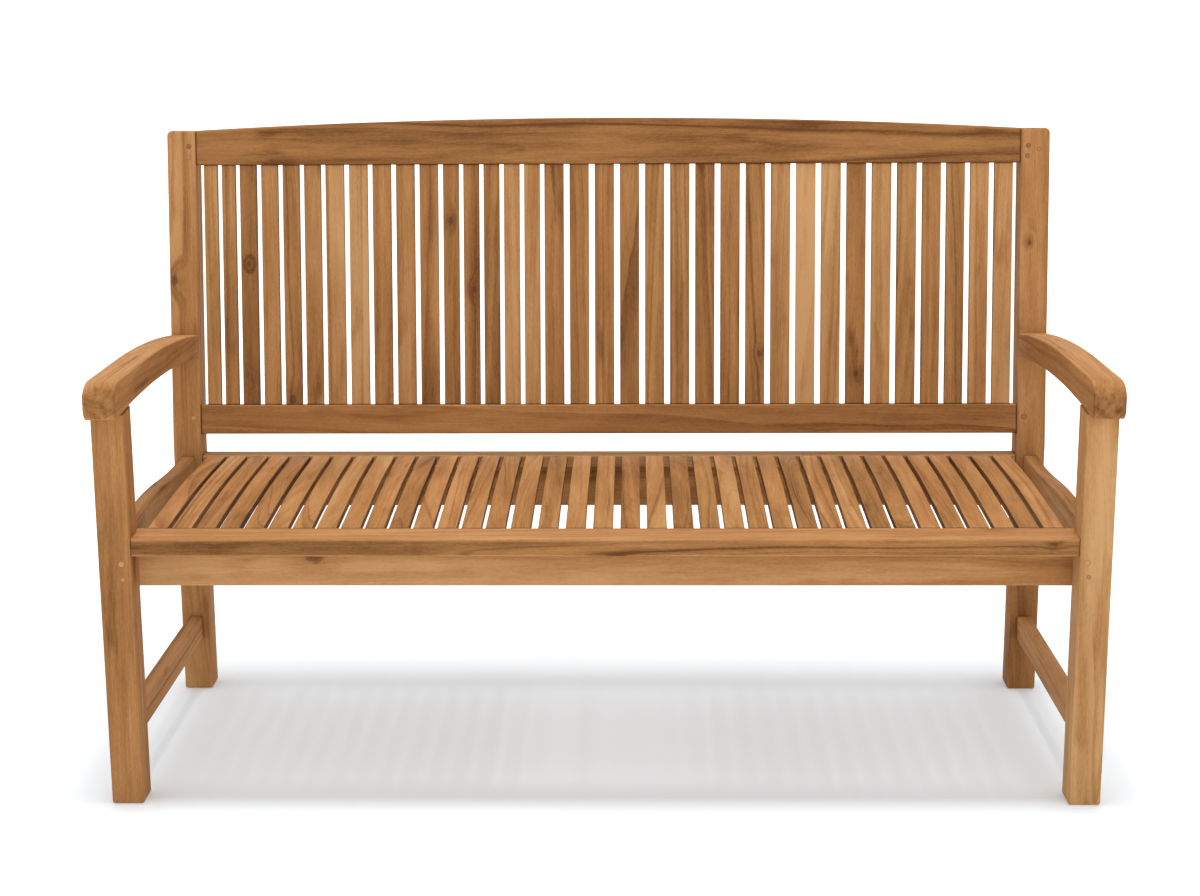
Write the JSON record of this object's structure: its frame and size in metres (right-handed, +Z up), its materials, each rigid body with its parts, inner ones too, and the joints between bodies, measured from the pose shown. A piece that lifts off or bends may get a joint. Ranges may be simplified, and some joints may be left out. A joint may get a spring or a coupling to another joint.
{
  "type": "garden bench",
  "caption": "Slatted hardwood garden bench with a raked back, gently arched top rail, curved arms and low side stretchers, joined with mortises and tenons.",
  "frame": {"origin": "floor level, midway between the two ends and midway between the front of the arms and the rearmost edge of the posts", "axes": "+X along the length of the bench, to the right seen from the front; +Y towards the back; +Z up"},
  "size_m": [1.5, 0.6906, 0.9945],
  "materials": {
    "teak_frame": "oiled teak, fine sanded, grain along each member",
    "teak_back": "oiled teak back slats, tone varies from slat to slat",
    "teak_seat": "oiled teak seat slats, slightly paler than the frame"
  },
  "bodies": {
    "root": {"front_leg_right": "teak_frame", "front_leg_left": "teak_frame", "rear_post_right": "teak_frame", "rear_post_left": "teak_frame", "armrest_right": "teak_frame", "armrest_left": "teak_frame", "side_seat_rail_right": "teak_frame", "side_seat_rail_left": "teak_frame", "side_stretcher_right": "teak_frame", "side_stretcher_left": "teak_frame", "front_apron": "teak_frame", "rear_apron": "teak_frame", "seat_bearer": "teak_frame", "seat_front_board": "teak_frame", "seat_rear_board": "teak_frame", "seat_slats_1": "teak_seat", "seat_slats_2": "teak_seat", "seat_slats_3": "teak_seat", "seat_slats_4": "teak_seat", "seat_slats_5": "teak_seat", "seat_slats_6": "teak_seat", "seat_slats_7": "teak_seat", "seat_slats_8": "teak_seat", "back_bottom_rail": "teak_frame", "back_top_rail": "teak_frame", "back_slat_01": "teak_back", "back_slat_02": "teak_back", "back_slat_03": "teak_back", "back_slat_04": "teak_back", "back_slat_05": "teak_back", "back_slat_06": "teak_back", "back_slat_07": "teak_back", "back_slat_08": "teak_back", "back_slat_09": "teak_back", "back_slat_10": "teak_back", "back_slat_11": "teak_back", "back_slat_12": "teak_back", "back_slat_13": "teak_back", "back_slat_14": "teak_back", "back_slat_15": "teak_back", "back_slat_16": "teak_back", "back_slat_17": "teak_back", "back_slat_18": "teak_back", "back_slat_19": "teak_back", "back_slat_20": "teak_back", "back_slat_21": "teak_back", "back_slat_22": "teak_back", "back_slat_23": "teak_back", "back_slat_24": "teak_back", "back_slat_25": "teak_back", "back_slat_26": "teak_back", "back_slat_27": "teak_back", "back_slat_28": "teak_back", "back_slat_29": "teak_back", "back_slat_30": "teak_back", "back_slat_31": "teak_back", "back_slat_32": "teak_back", "back_slat_33": "teak_back", "back_slat_34": "teak_back", "back_slat_35": "teak_back"}
  },
  "joints": []
}
